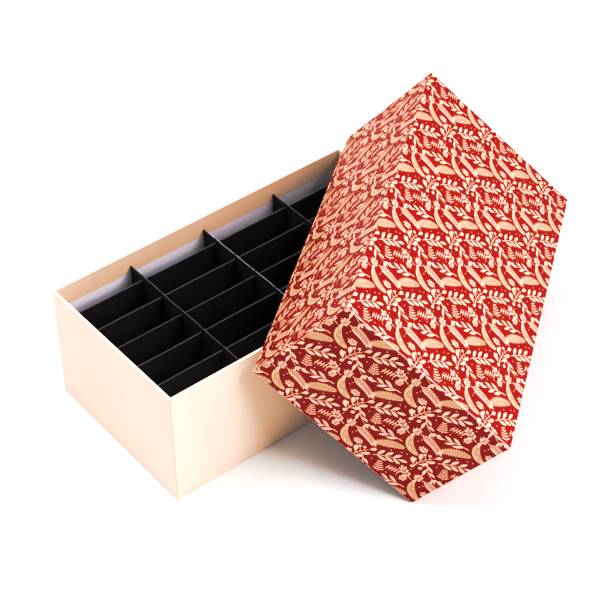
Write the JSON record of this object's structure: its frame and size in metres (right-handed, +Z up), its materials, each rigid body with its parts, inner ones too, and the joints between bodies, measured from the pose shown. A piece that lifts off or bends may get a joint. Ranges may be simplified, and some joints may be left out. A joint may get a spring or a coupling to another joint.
{
  "type": "divided keepsake box",
  "caption": "Rectangular rigid paper-covered box with a lift-off lid leaning on it and a loose grid of interlocking card dividers.",
  "frame": {"origin": "middle of the tray's underside, on the surface it stands on", "axes": "+X along the tray's length, towards the end that the lid leans over; +Y towards the tray's back wall, away from the lid; +Z up"},
  "size_m": [0.4316, 0.3421, 0.1936],
  "materials": {
    "greyboard": "matte",
    "stay_paper": "matte",
    "cream_paper": "matte",
    "printed_paper": "matte",
    "lining_paper": "matte",
    "black_card": "matte"
  },
  "bodies": {
    "tray": {"tray_right_board": "greyboard", "tray_left_board": "greyboard", "tray_back_board": "greyboard", "tray_front_board": "greyboard", "tray_base_board": "greyboard", "tray_stay_back_right": "stay_paper", "tray_stay_back_left": "stay_paper", "tray_stay_front_left": "stay_paper", "tray_stay_front_right": "stay_paper", "tray_wall_lining": "lining_paper", "tray_base_lining": "lining_paper", "tray_wrap": "cream_paper", "tray_base_sheet": "cream_paper"},
    "insert": {"cross_divider_1": "black_card", "cross_divider_2": "black_card", "cross_divider_3": "black_card", "long_divider_1": "black_card", "long_divider_2": "black_card", "long_divider_3": "black_card", "long_divider_4": "black_card", "long_divider_5": "black_card"},
    "lid": {"lid_far_end_board": "greyboard", "lid_near_end_board": "greyboard", "lid_low_side_board": "greyboard", "lid_high_side_board": "greyboard", "lid_top_board": "greyboard", "lid_stay_far_low": "stay_paper", "lid_stay_near_low": "stay_paper", "lid_stay_near_high": "stay_paper", "lid_stay_far_high": "stay_paper", "lid_wall_lining": "lining_paper", "lid_top_lining": "lining_paper", "lid_wrap": "printed_paper"}
  },
  "joints": [
    {"name": "insert_lift", "type": "slide", "parent": "tray", "child": "insert", "axis": [0, 0, 1], "range_m": [0, 0.012]},
    {"name": "lid_lift", "type": "slide", "parent": "tray", "child": "lid", "axis": [0, 0, 1], "range_m": [0, 0.2]}
  ]
}
